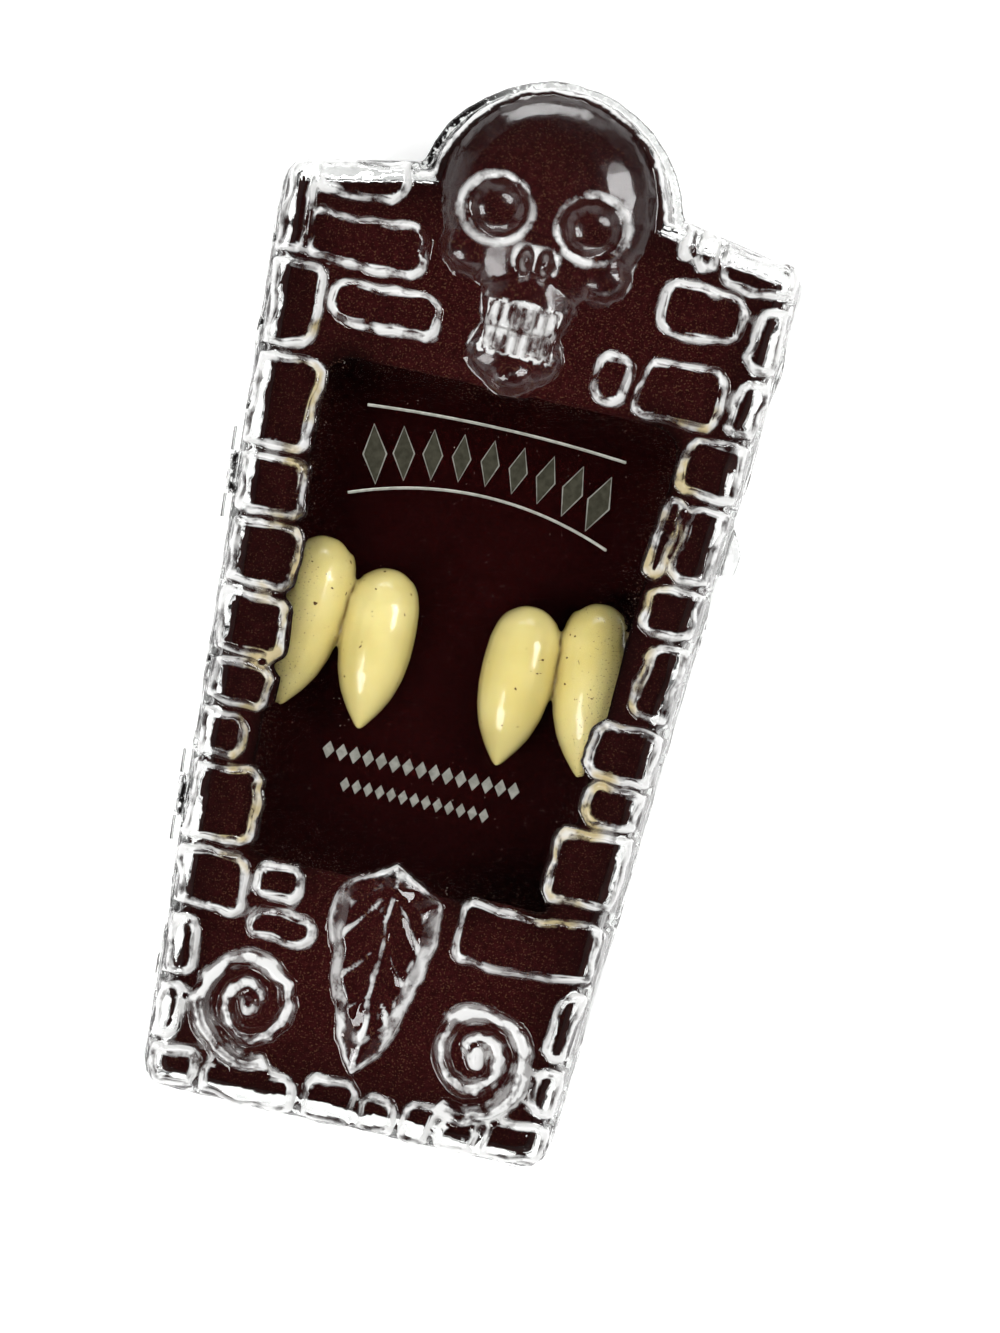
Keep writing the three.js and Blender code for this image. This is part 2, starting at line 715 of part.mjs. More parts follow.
const toothSections = [
  { at: 0.0, wide: 0.26, front: 0.5, back: 0 },
  { at: 0.02, wide: 0.46, front: 0.62, back: 0 },
  { at: 0.06, wide: 0.68, front: 0.74, back: 0 },
  { at: 0.12, wide: 0.84, front: 0.86, back: 0 },
  { at: 0.22, wide: 0.96, front: 0.96, back: 0 },
  { at: 0.38, wide: 1.0, front: 1.0, back: 0 },
  { at: 0.52, wide: 0.98, front: 0.99, back: 0 },
  { at: 0.66, wide: 0.88, front: 0.94, back: 0 },
  { at: 0.78, wide: 0.7, front: 0.84, back: 0.04 },
  { at: 0.88, wide: 0.45, front: 0.7, back: 0.12 },
  { at: 0.96, wide: 0.19, front: 0.55, back: 0.22 },
  { at: 1.0, wide: 0.05, front: 0.45, back: 0.3 },
];
const toothSides = 20;
const girthShare = 0.3;
const toothFullness = 0.9;
const socketFullness = 0.55;

function sectionAt(at) {
  const next = Math.max(1, toothSections.findIndex((row) => row.at >= at));
  const [a, b] = [toothSections[next - 1], toothSections[next]];
  const share = (at - a.at) / (b.at - a.at);
  const mix = (key) => THREE.MathUtils.lerp(a[key], b[key], share);
  return { wide: mix('wide'), front: mix('front'), back: mix('back') };
}

// One section across the tooth: round in front, flatter behind, widest near its back.
function toothRing(halfWidth, front, back, z, fullness) {
  const girth = back + girthShare * (front - back);
  const ring = [];
  for (let i = 0; i < toothSides; i += 1) {
    const angle = (2 * Math.PI * (i + 0.5)) / toothSides;
    const rise = Math.sin(angle);
    const y = rise > 0
      ? girth + (front - girth) * rise ** fullness
      : girth - (girth - back) * Math.sqrt(-rise);
    ring.push(new THREE.Vector3(halfWidth * Math.cos(angle), y, z));
  }
  return ring;
}

function toothBody(length) {
  return loft(toothSections.map(({ at, wide, front, back }) => (
    toothRing((wide * toothWidth) / 2, front * toothHeight, back * toothHeight, at * length, toothFullness)
  )));
}

const socketShares = [0.1, 0.16, 0.24, 0.36, 0.48, socketEnd];
const socketEndTaper = 0.75;

function toothSocket(length) {
  const rings = socketShares.map((at) => {
    const { wide, front } = sectionAt(at);
    const close = at === socketEnd ? socketEndTaper : 1;
    const halfWidth = ((wide * toothWidth) / 2 - toothWall) * close;
    const roof = (front * toothHeight - toothWall) * close;
    return toothRing(halfWidth, roof, -toothHeight / 2, at * length, socketFullness);
  });
  const gumSlot = box(-gumSlotWidth / 2, gumSlotWidth / 2, -toothHeight, gumSlotHeight,
    -toothWall, gumSlotEnd * length);
  return loft(rings).add(solidOf(gumSlot));
}

// Stands a tooth on the pad's plane: gum end at the given place, tip towards the foot.
function laid(solid, gum, splay, roll) {
  const matrix = new THREE.Matrix4()
    .makeTranslation(gum.x, gum.y, padHeight + seatGap)
    .multiply(new THREE.Matrix4().makeRotationZ(degrees(splay)))
    .multiply(new THREE.Matrix4().makeRotationY(degrees(roll)))
    .multiply(new THREE.Matrix4().makeRotationX(Math.PI / 2));
  return solid.transform(matrix.elements);
}

function makeFangPair(side, lift) {
  const gum = { x: fangInset, y: fangTop + lift };
  const outer = { x: gum.x + toothPitch, y: gum.y + outerToothLift };
  const both = (make) => {
    const innerTooth = laid(make(toothLength), gum, innerToothSplay, 0);
    return innerTooth.add(laid(make(outerToothLength), outer, outerToothSplay, outerToothRoll));
  };
  const above = box(0, shoulderWidth, yFoot, yCrown, padHeight + seatGap, plateTop);
  const pair = both(toothBody).subtract(both(toothSocket)).intersect(solidOf(above));
  return side > 0 ? pair : pair.mirror([1, 0, 0]);
}

// Scene graph

function geometryOf(solid) {
  const mesh = solid.getMesh();
  const geometry = new THREE.BufferGeometry();
  geometry.setAttribute('position', new THREE.BufferAttribute(mesh.vertProperties, 3));
  geometry.setIndex(new THREE.BufferAttribute(mesh.triVerts, 1));
  geometry.computeVertexNormals();
  return geometry;
}

const clearPlastic = new THREE.MeshStandardMaterial({
  color: 0xe9ecec, roughness: 0.08, metalness: 0, transparent: true, opacity: 0.3,
});
const flock = new THREE.MeshStandardMaterial({ color: 0x2a0508, roughness: 1, metalness: 0 });
const borderFlock = new THREE.MeshStandardMaterial({ color: 0x3a1013, roughness: 1, metalness: 0 });
const fangAcrylic = new THREE.MeshStandardMaterial({ color: 0xdfcf8c, roughness: 0.2, metalness: 0 });

const group = new THREE.Group();

function addPiece(name, solid, material) {
  const mesh = new THREE.Mesh(geometryOf(solid), material);
  mesh.name = name;
  group.add(mesh);
}

addPiece('case_base', makeBase(), clearPlastic.clone());
addPiece('flocked_pad', makePad(), flock);
addPiece('fang_pair_left', makeFangPair(-1, leftPairLift), fangAcrylic.clone());
addPiece('fang_pair_right', makeFangPair(1, 0), fangAcrylic.clone());
addPiece('border_liner', makeLiner(), borderFlock);
addPiece('case_lid', makeLid(), clearPlastic.clone());

export default group;
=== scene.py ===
# %% [markdown]
# A pair of double vampire fang caps in a clear, coffin-shaped case.
# The solid model comes in as a fixed frame, in metres, with the case lying on its back.
# This lesson only dresses it: clear plastic, flock, acrylic, foil, light and a camera.

# %% Load the frame
import math

import bmesh
import bpy
import numpy as np
from mathutils import Matrix, Vector, kdtree, noise


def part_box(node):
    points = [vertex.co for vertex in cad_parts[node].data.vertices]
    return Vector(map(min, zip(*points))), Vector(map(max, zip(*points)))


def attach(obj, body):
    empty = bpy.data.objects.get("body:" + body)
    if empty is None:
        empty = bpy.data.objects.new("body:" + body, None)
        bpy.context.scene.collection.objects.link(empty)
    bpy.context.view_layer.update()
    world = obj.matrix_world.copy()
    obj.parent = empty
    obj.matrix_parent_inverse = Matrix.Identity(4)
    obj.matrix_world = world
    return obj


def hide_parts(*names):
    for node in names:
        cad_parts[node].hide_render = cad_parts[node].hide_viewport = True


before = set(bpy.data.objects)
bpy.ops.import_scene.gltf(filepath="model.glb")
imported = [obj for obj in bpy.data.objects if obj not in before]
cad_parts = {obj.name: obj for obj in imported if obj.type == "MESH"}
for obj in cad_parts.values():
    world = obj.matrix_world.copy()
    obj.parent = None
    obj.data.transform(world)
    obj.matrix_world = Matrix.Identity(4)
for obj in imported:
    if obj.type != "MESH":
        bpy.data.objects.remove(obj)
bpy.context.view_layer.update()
MM = 0.001
print("pieces of the frame:", sorted(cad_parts))

# %% [markdown]
# Sizes that the finish needs are read off the frame, so that nothing is fitted by eye.
# The case tapers from its shoulders to its foot, and a few helpers turn shares of that
# plan into places, as the mould maker's drawing would.

# %% Sizes of the case, in millimetres
lid_high, pad_high, liner_high = (
    Vector(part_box(node)[1]) / MM for node in ("case_lid", "flocked_pad", "border_liner")
)

SEAT_GAP = 0.3
PLATE_THICKNESS = 1.3
FLANGE_TOP = 8.0
PLATE_UNDER = liner_high.z + SEAT_GAP
PLATE_TOP = PLATE_UNDER + PLATE_THICKNESS
HALF_LENGTH = lid_high.y
SHOULDER_Y = HALF_LENGTH - 14.0
HALF_SHOULDER, HALF_FOOT = 27.7, 21.4


def half_width(y):
    """Half the case's width at a place along it."""
    share = (y + HALF_LENGTH) / (SHOULDER_Y + HALF_LENGTH)
    return HALF_FOOT + (HALF_SHOULDER - HALF_FOOT) * share


def along(share):
    """The place along the case of a share from its foot to its crown."""
    return -HALF_LENGTH + share * 2 * HALF_LENGTH


WINDOW = {"foot": along(0.235), "head": along(0.70), "across": 0.70}
print("plate top", round(PLATE_TOP, 2), "mm, window", WINDOW)

# %% [markdown]
# The photograph looks straight down on the case, which leans to the right in the picture.
# A long lens from half a metre up keeps the sides almost as upright as they are there.
# The camera's own up is turned by the lean, and it stands a little off the case's middle.

# %% Camera
PHOTO_PX = (1000, 1333)
MM_PER_PX = 0.1012
LEAN = math.radians(12.7)
CASE_MIDDLE_PX = (458.4, 604.4)
CAMERA_RISE = 500.0
SENSOR = 36.0

image_up = Vector((-math.sin(LEAN), math.cos(LEAN), 0))
image_right = Vector((math.cos(LEAN), math.sin(LEAN), 0))
off_right = (PHOTO_PX[0] / 2 - CASE_MIDDLE_PX[0]) * MM_PER_PX
off_down = (PHOTO_PX[1] / 2 - CASE_MIDDLE_PX[1]) * MM_PER_PX
eye = image_right * off_right - image_up * off_down + Vector((0, 0, PLATE_TOP + CAMERA_RISE))

camera_data = bpy.data.cameras.new("studio_camera")
camera_data.sensor_width = SENSOR
camera_data.lens = SENSOR * CAMERA_RISE / (PHOTO_PX[1] * MM_PER_PX)
camera_data.clip_start, camera_data.clip_end = 0.01, 10
camera = bpy.data.objects.new("studio_camera", camera_data)
bpy.context.collection.objects.link(camera)
axes = Matrix((image_right, image_up, Vector((0, 0, 1)))).transposed()
camera.matrix_world = Matrix.Translation(eye * MM) @ axes.to_4x4()
bpy.context.scene.camera = camera
bpy.context.scene.view_settings.view_transform = "Standard"
print("lens", round(camera_data.lens, 1), "mm")

# %% [markdown]
# Materials, growths and the room are all node trees. One helper adds a node, and feeds
# each input with a plain value or with the socket of another node. The rest of the
# helpers are the few patterns that nearly every finish here needs.

# %% Helpers for node trees
def step(tree, kind, inputs=None, **settings):
    """A node with its settings, whose inputs are values or the sockets that feed them."""
    node = tree.nodes.new(kind)
    for key, value in settings.items():
        setattr(node, key, value)
    for key, value in (inputs or {}).items():
        if isinstance(value, bpy.types.NodeSocket):
            tree.links.new(value, node.inputs[key])
        else:
            node.inputs[key].default_value = value
    return node


def ramp(tree, source, *stops):
    """A colour ramp on a value: each stop is (place, grey or colour)."""
    node = step(tree, "ShaderNodeValToRGB", {"Fac": source})
    elements = node.color_ramp.elements
    while len(elements) < len(stops):
        elements.new(0.5)
    for element, (place, colour) in zip(elements, stops):
        element.position = place
        element.color = (*((colour,) * 3 if isinstance(colour, float) else colour), 1)
    return node.outputs["Color"]


def combine(tree, operation, a, b):
    """Two numbers combined and kept between 0 and 1."""
    return step(tree, "ShaderNodeMath", {0: a, 1: b}, operation=operation, use_clamp=True).outputs[0]


def blend_colours(tree, factor, first, second):
    """One colour over another."""
    node = step(tree, "ShaderNodeMix", {0: factor, 6: first, 7: second}, data_type="RGBA")
    return node.outputs[2]


def blend_shaders(tree, factor, first, second):
    """One shader over another."""
    return step(tree, "ShaderNodeMixShader", {0: factor, 1: first, 2: second}).outputs[0]


def grain(tree, scale, detail=3.0, roughness=0.55, stretch=(1, 1, 1)):
    """Noise on Object coordinates: scale counts its features per metre."""
    where = step(tree, "ShaderNodeTexCoord").outputs["Object"]
    if stretch != (1, 1, 1):
        where = step(tree, "ShaderNodeMapping", {"Vector": where, "Scale": stretch}).outputs[0]
    inputs = {"Vector": where, "Scale": scale, "Detail": detail, "Roughness": roughness}
    return step(tree, "ShaderNodeTexNoise", inputs).outputs["Fac"]


def kept(tree, name):
    """A value that the mesh carries at its points."""
    return step(tree, "ShaderNodeAttribute", attribute_name=name).outputs["Fac"]


def new_finish(name):
    """An empty material, its tree and its output node."""
    material = bpy.data.materials.new(name)
    material.use_nodes = True
    material.node_tree.nodes.clear()
    return material, material.node_tree, material.node_tree.nodes.new("ShaderNodeOutputMaterial")


# %% [markdown]
# A clear case is drawn by what it reflects. A plain dark ceiling keeps the flat window
# from being veiled, and a bright band low round the walls gives every slanted edge
# something white to show. Patches in that band break the white edges up, as the windows
# and boxes of a real studio do.

# %% The room's light
CEILING, BAND_STRENGTH = 0.004, 1.15
world = bpy.data.worlds.new("room")
bpy.context.scene.world = world
world.use_nodes = True
room = world.node_tree
direction = step(room, "ShaderNodeTexCoord").outputs["Generated"]
height = step(room, "ShaderNodeSeparateXYZ", {0: direction}).outputs["Z"]
band = ramp(room, height, (0.28, 1.0), (0.46, 0.32), (0.66, 0.03), (0.85, CEILING))
spots = step(room, "ShaderNodeTexNoise", {"Vector": direction, "Scale": 2.6, "Detail": 1.0})
patches = ramp(room, spots.outputs["Fac"], (0.42, 0.04), (0.54, 1.0))
lit = step(room, "ShaderNodeMix", {0: 1.0, 6: band, 7: patches}, data_type="RGBA", blend_type="MULTIPLY")
room.links.new(lit.outputs[2], room.nodes["Background"].inputs["Color"])
room.nodes["Background"].inputs["Strength"].default_value = BAND_STRENGTH


def softbox(name, azimuth, elevation, distance, size, power):
    """An area light aimed at the case. Azimuth 0 is at the head, 90 at the right."""
    data = bpy.data.lights.new(name, "AREA")
    data.shape = "RECTANGLE"
    data.size, data.size_y = size
    data.energy = power
    lamp = bpy.data.objects.new(name, data)
    bpy.context.collection.objects.link(lamp)
    a, e = math.radians(azimuth), math.radians(elevation)
    towards = Vector((math.sin(a) * math.cos(e), math.cos(a) * math.cos(e), math.sin(e)))
    lamp.location = towards * distance
    lamp.rotation_mode = "QUATERNION"
    lamp.rotation_quaternion = towards.to_track_quat("Z", "Y")
    return lamp


softbox("key_softbox", 222, 46, 0.5, (0.26, 0.22), 1.65)
softbox("fill_softbox", 62, 44, 0.6, (0.26, 0.18), 1.65)
softbox("head_strip", 350, 18, 0.5, (0.40, 0.08), 0.9)

# %% [markdown]
# The floor is a plain pale sheet, lit a little from below as a light table is, so that
# the shadows stay faint and the clear rim is bright. It isn't part of the case, and lies
# a hair below it so that the two faces don't flicker.

# %% Floor
FLOOR_HALF, FLOOR_DROP, FLOOR_GLOW = 0.8, 0.0001, 0.55
floor_mesh = bpy.data.meshes.new("pale_floor")
floor_corners = [(-1, -1), (1, -1), (1, 1), (-1, 1)]
floor_points = [(x * FLOOR_HALF, y * FLOOR_HALF, -FLOOR_DROP) for x, y in floor_corners]
floor_mesh.from_pydata(floor_points, [], [(0, 1, 2, 3)])
floor = bpy.data.objects.new("pale_floor", floor_mesh)
bpy.context.collection.objects.link(floor)
floor_paint, tree, out = new_finish("pale_floor_paint")
pale = ramp(tree, grain(tree, 30), (0.3, (0.93, 0.93, 0.93)), (0.7, (0.95, 0.95, 0.95)))
matt = step(tree, "ShaderNodeBsdfPrincipled", {
    "Base Color": pale, "Roughness": 0.9, "Specular IOR Level": 0.1,
    "Emission Color": (1, 1, 1, 1), "Emission Strength": FLOOR_GLOW,
})
tree.links.new(matt.outputs[0], out.inputs["Surface"])
floor_mesh.materials.append(floor_paint)

# %% [markdown]
# Moulded plastic has no knife edges. Each solid is copied, welded and turned into an
# even skin by a voxel remesh, which rounds every edge by about one voxel. The skin is
# then eased in code, where a mask can keep small parts such as a hinge crisp, and a
# decimation with area-weighted normals thins the flat stretches without denting them.

# %% Turn a solid into an even skin
def welded_copy(node, name, scale=1.0):
    """A copy of a frame node with its loose triangles merged, scaled about the origin."""
    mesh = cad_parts[node].data.copy()
    mesh.name = name
    mesh.materials.clear()
    body = bmesh.new()
    body.from_mesh(mesh)
    bmesh.ops.remove_doubles(body, verts=body.verts, dist=1e-6)
    bmesh.ops.scale(body, verts=body.verts, vec=(scale, scale, scale))
    body.to_mesh(mesh)
    body.free()
    piece = bpy.data.objects.new(name, mesh)
    bpy.context.collection.objects.link(piece)
    return piece


def applied(piece):
    """Replaces a piece's mesh by its evaluated one and drops its modifiers."""
    graph = bpy.context.evaluated_depsgraph_get()
    graph.update()
    mesh = bpy.data.meshes.new_from_object(piece.evaluated_get(graph))
    piece.modifiers.clear()
    piece.data = mesh
    return piece


def skin(node, name, voxel):
    """A remeshed copy of a node, in millimetres until it is finished."""
    piece = welded_copy(node, name, 1 / MM)
    remesh = piece.modifiers.new("skin", "REMESH")
    remesh.mode = "VOXEL"
    remesh.voxel_size = voxel
    return applied(piece)


FLATNESS = 60


def thinned(piece, most_triangles):
    """Fewer triangles on the flat stretches, with normals that keep them flat."""
    triangles = sum(len(face.vertices) - 2 for face in piece.data.polygons)
    if triangles > most_triangles:
        piece.modifiers.new("thin", "DECIMATE").ratio = most_triangles / triangles
    piece.modifiers.new("flat", "WEIGHTED_NORMAL").weight = FLATNESS
    piece.data.polygons.foreach_set("use_smooth", [True] * len(piece.data.polygons))
    return applied(piece)


def points_of(mesh):
    """The mesh's points as an array."""
    flat = np.empty(len(mesh.vertices) * 3, np.float32)
    mesh.vertices.foreach_get("co", flat)
    return flat.reshape(-1, 3)


def normals_of(mesh):
    """The mesh's point normals as an array."""
    flat = np.empty(len(mesh.vertices) * 3, np.float32)
    mesh.vertex_normals.foreach_get("vector", flat)
    return flat.reshape(-1, 3)


def set_points(mesh, points):
    """Writes the points back."""
    mesh.vertices.foreach_set("co", np.ascontiguousarray(points, np.float32).ravel())
    mesh.update()


def spread(mesh, values, rounds=1):
    """Averages values over each point's neighbours, a number of times."""
    ends = np.empty(len(mesh.edges) * 2, np.int32)
    mesh.edges.foreach_get("vertices", ends)
    a, b = ends.reshape(-1, 2).T
    count = len(mesh.vertices)
    share = np.maximum(np.bincount(a, minlength=count) + np.bincount(b, minlength=count), 1)
    for _ in range(rounds):
        values = np.stack([
            (np.bincount(a, column[b], count) + np.bincount(b, column[a], count)) / share
            for column in values.T
        ], axis=1)
    return values


EASE_IN, EASE_OUT = 0.5, -0.52


def eased(mesh, rounds, amount=1.0):
    """Smooths the points, with a counter move after each pass so that nothing shrinks."""
    points = points_of(mesh)
    for _ in range(rounds):
        for share in (EASE_IN, EASE_OUT):
            points = points + (spread(mesh, points) - points) * share * amount
    set_points(mesh, points)
    return points


def wobble(points, amount, scale):
    """Smooth noise at each point; scale counts its features per millimetre."""
    return np.array([amount * noise.noise(Vector(p) * scale) for p in points.astype(float)])


def over(values, low, high):
    """0 below low, 1 above high, eased between."""
    share = np.clip((values - low) / (high - low), 0, 1)
    return share * share * (3 - 2 * share)


def keep_value(mesh, name, values):
    """Stores one number per point, for the materials to read."""
    layer = mesh.attributes.new(name, "FLOAT", "POINT")
    layer.data.foreach_set("value", np.clip(values, 0, 1).astype(np.float32))


def dressed(piece, material, body, node=None):
    """Scales a millimetre piece back to metres and hands it over to the frame."""
    piece.data.transform(Matrix.Scale(MM, 4))
    piece.data.polygons.foreach_set("use_smooth", [True] * len(piece.data.polygons))
    piece.data.materials.clear()
    piece.data.materials.append(material)
    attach(piece, body)
    if node:
        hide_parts(node)
    print(piece.name, len(piece.data.polygons), "faces on", body)


MOST_TRIANGLES = 190000

# %% [markdown]
# Clear polystyrene bends light a little more than glass and is never quite clean. Where
# the plastic turns sharply it looks white, because light that came in from the sides
# leaves it there; here that white is a painted highlight, a thin white skin that a stored
# value lays on those places. Its upright walls and the flange at their foot carry black
# patches, a painted reflection of the unlit part of the room, laid on as a dark skin.
# Light on its way to a lamp goes straight through, so that what lies under the lid is lit.

# %% Clear plastic
CLEAR, LET_THROUGH = (0.93, 0.935, 0.93, 1), (0.955, 0.96, 0.955, 1)
# Painted highlight: the white skin of the lid's edges, yellowish next to the window.
EDGE_PAINTED_WHITE, WINDOW_EDGE_YELLOW = (0.93, 0.93, 0.92, 1), (0.62, 0.50, 0.24, 1)
# Painted reflection: the near black of the dark patches on the lid's walls.
PAINTED_DARK_COLOUR = (0.010, 0.008, 0.008, 1)


def clear_plastic(name, edges_white):
    """Clear moulded plastic; the lid's carries a painted white on its edges, yellowish next to the window,
    and painted dark patches.
    """
    material, tree, out = new_finish(name)
    scuffs = ramp(tree, grain(tree, 900, 4), (0.40, 0.015), (0.80, 0.06))
    if edges_white:
        scuffs = combine(tree, "MAXIMUM", scuffs, kept(tree, "satin"))
    glass = step(tree, "ShaderNodeBsdfPrincipled", {
        "Base Color": CLEAR, "Transmission Weight": 1.0, "IOR": 1.57, "Roughness": scuffs,
    })
    surface = glass.outputs[0]
    if edges_white:
        # Painted highlight: a stored value lays a white skin over the clear plastic at its edges.
        broken = ramp(tree, grain(tree, 420, 3), (0.36, 0.30), (0.55, 1.0))
        faint = ramp(tree, grain(tree, 130, 1), (0.38, 0.62), (0.50, 1.0))
        line = combine(tree, "MULTIPLY", combine(tree, "MULTIPLY", broken, faint), kept(tree, "edge"))
        painted_white = ramp(tree, line, (0.16, 0.0), (0.32, 0.38), (0.44, 0.72), (0.56, 0.98))
        # Painted reflection: dark patches on the walls and the flange, laid on as a dark skin.
        patches = ramp(tree, grain(tree, 620, 3, 0.7), (0.49, 1.0), (0.55, 0.0))
        painted_dark_patches = combine(tree, "MULTIPLY", patches, kept(tree, "painted_dark_patches"))
        painted_dark_skin = step(tree, "ShaderNodeBsdfDiffuse", {"Color": PAINTED_DARK_COLOUR})
        surface = blend_shaders(tree, painted_dark_patches, surface, painted_dark_skin.outputs[0])
        # The painted white turns yellowish in spots next to the window.
        tint_spots = ramp(tree, grain(tree, 260, 2), (0.42, 0.0), (0.56, 0.9))
        yellow_tint = combine(tree, "MULTIPLY", kept(tree, "window_tint"), tint_spots)
        colour = blend_colours(tree, yellow_tint, EDGE_PAINTED_WHITE, WINDOW_EDGE_YELLOW)
        skin_shader = step(tree, "ShaderNodeBsdfPrincipled", {"Base Color": colour, "Roughness": 0.25})
        surface = blend_shaders(tree, painted_white, surface, skin_shader.outputs[0])
    lamp_ray = step(tree, "ShaderNodeLightPath").outputs["Is Shadow Ray"]
    through = step(tree, "ShaderNodeBsdfTransparent", {"Color": LET_THROUGH})
    surface = blend_shaders(tree, lamp_ray, surface, through.outputs[0])
    tree.links.new(surface, out.inputs["Surface"])
    return material


# %% [markdown]
# The lid first. A union of simple solids leaves hard creases on the skull, so they are
# melted together, and its teeth and the shield's ribs are carved into the skin. All of
# the relief then drifts a little sideways, so that no stone keeps a ruled outline.

# %% Lid, its form
LID_VOXEL, LID_EASE, LID_MELT, SKULL_EASE = 0.26, 2, 2, 12
DRIFTS, DRIFT_SHIFT = ((0.62, 0.17), (0.30, 0.5)), 90.0
WINDOW_EDGE = 1.0
SKULL = {"y": HALF_LENGTH - 14.0, "unit": 11.6, "half": 12.4, "jaw": 6.3, "reach": 21.0}
TOOTH_PITCH, TOOTH_GAP, TOOTH_CUT = 0.105 * SKULL["unit"], 0.22, 1.0
MOUTH = {"y": SKULL["y"] - 1.115 * SKULL["unit"], "half_width": 3.7, "half_length": 2.6}
SHIELD = {"foot": along(0.075), "head": along(0.235), "rise": 2.2}
RIB, VEIN, VEIN_PITCH, VEIN_LEAN = (0.34, 0.6), (0.22, 0.6), 5.0, 1.2


def bump_at(offset, width):
    """A round ridge: 1 on its line, 0 away from it."""
    return np.exp(-(offset / width) ** 2)


lid = skin("case_lid", "clear_lid", LID_VOXEL)
points = points_of(lid.data)
points = eased(lid.data, LID_EASE, over(points[:, 2], FLANGE_TOP - 0.3, FLANGE_TOP + 0.5)[:, None])
x, y, z = points.T
on_skull = over(z, PLATE_TOP, PLATE_TOP + 0.4) * over(SKULL["y"] + 14 - y, 0, 1)
skull_half = SKULL["jaw"] + (SKULL["half"] - SKULL["jaw"]) * over(y - SKULL["y"] + 11, 0, 4)
on_skull *= over(skull_half - np.abs(x), 0, 0.6) * over(y - SKULL["reach"], 0, 0.6)
on_shield = over(z, PLATE_TOP + 1.7, PLATE_TOP + SHIELD["rise"] - 0.1)
on_shield *= over(y - SHIELD["foot"], 0, 3) * over(SHIELD["head"] - y, 0, 1.5)
lean = (y + np.abs(x) * VEIN_LEAN) / VEIN_PITCH
veins = bump_at((lean - np.round(lean)) * VEIN_PITCH, VEIN[1]) * VEIN[0]
points[:, 2] += np.maximum(bump_at(x, RIB[1]) * RIB[0], veins) * on_shield
in_relief = over(z, PLATE_TOP - 0.6, PLATE_TOP - 0.2)
for melt in [in_relief] * LID_MELT + [on_skull] * SKULL_EASE:
    points = points + (spread(lid.data, points) - points) * 0.5 * melt[:, None]

x, y, z = points.T
in_mouth = over(MOUTH["half_width"] - np.abs(x), 0, 0.3) * over(z, PLATE_TOP + 0.9, PLATE_TOP + 1.3)
in_mouth *= over(MOUTH["half_length"] - np.abs(y - MOUTH["y"]), 0, 0.3)
between = (x / TOOTH_PITCH - np.round(x / TOOTH_PITCH)) * TOOTH_PITCH
gaps = np.maximum(bump_at(between, TOOTH_GAP), bump_at(y - MOUTH["y"], TOOTH_GAP))
points[:, 2] -= gaps * in_mouth * TOOTH_CUT
loose = over(z, PLATE_TOP - 0.9, PLATE_TOP - 0.1) * (1 - 0.8 * on_skull)
for axis, shift in ((0, DRIFT_SHIFT), (1, -DRIFT_SHIFT)):
    for drift in DRIFTS:
        points[:, axis] += wobble(points * (1, 1, 0) + shift, *drift) * loose
set_points(lid.data, points)


# %% [markdown]
# Where clear plastic turns sharply it looks white, and here that white is a painted
# highlight. The skin itself says where: a point that stands out of its neighbours is on a
# crest, one that lies below them is at the foot of a flank, and the flank between is
# steep. The three are kept as one value, before the faces are made uneven, so that only
# real edges are drawn. The skull is rounder than the stones, so it gets a broader line,
# and one round each socket. Three more values mark where the painted white turns
# yellowish next to the window, the skull's satin and the painted dark reflection on the walls.

# %% Lid, its painted white edges
CREST, SKULL_CREST, FOOT, STILL = 0.040, 0.030, 0.050, 0.006
FLANK_SHARE, FOOT_SHARE, SCROLL_SHARE, RIB_SHARE = 0.68, 0.35, 1.0, 0.8
TOOTH_SHARE, KNOB_SHARE, WALL_SHARE, SKULL_SATIN = 0.62, 0.35, 0.34, 0.17
SKULL_REACH, SKULL_LINE, DOME_SHARE = 8, (0.05, 0.13), 0.62
SOCKET = {"across": 5.0, "y": SKULL["y"] - 1.4, "wide": 3.6, "long": 3.36, "share": 0.50}
CHEEK, CHIN = (5.4, 4.2), 15.4
LIT_SIDE, WALL_PAINTED_DARK = 0.15, 0.8
SPINE, WALL_TOP = (-30, 40), (16.4, 17.4)
SCROLLS = {"across": 0.535, "y": along(0.099), "radius": 6.6}
normals = normals_of(lid.data)
to_side = WINDOW["across"] * half_width(y) - np.abs(x)
in_window = over(to_side, 0, WINDOW_EDGE)
in_window *= over(y - WINDOW["foot"], 0, WINDOW_EDGE) * over(WINDOW["head"] - y, 0, WINDOW_EDGE)
relief = over(z, PLATE_TOP, PLATE_TOP + 0.35)
from_middle = np.stack([x, y - np.clip(y, *SPINE), np.zeros_like(z)], axis=1)
outward = over(np.sum(from_middle * normals, axis=1), -0.5, 4.0)
outer = np.where(z > PLATE_UNDER + 0.6, 1.0, outward) * over(z, FLANGE_TOP + 0.3, FLANGE_TOP + 1.0)
stands_out = np.sum((points - spread(lid.data, points, 2)) * normals, axis=1)
shown = np.percentile(stands_out[relief > 0.5], (2, 10, 50, 90, 98))
print("stands out on the relief, in mm:", [round(float(v), 4) for v in shown])
to_scroll = np.hypot(np.abs(x) - SCROLLS["across"] * half_width(y), y - SCROLLS["y"])
in_scroll = over(SCROLLS["radius"] - to_scroll, 0, 0.6)
softer = (1 - in_scroll * (1 - SCROLL_SHARE)) * (1 - on_shield * (1 - RIB_SHARE))
softer *= (1 - in_mouth * (1 - TOOTH_SHARE)) * (WALL_SHARE + (1 - WALL_SHARE) * over(z, *WALL_TOP))
knob = over(np.abs(x) - CHEEK[0], 0, 0.6) * over(SKULL["y"] - CHEEK[1] - y, 0, 0.8)
knob = np.maximum(knob, over(SKULL["y"] - CHIN - y, 0, 0.8)) * on_skull
softer *= 1 - knob * (1 - KNOB_SHARE)
sharp = (stands_out - STILL) / (CREST + (SKULL_CREST - CREST) * on_skull)
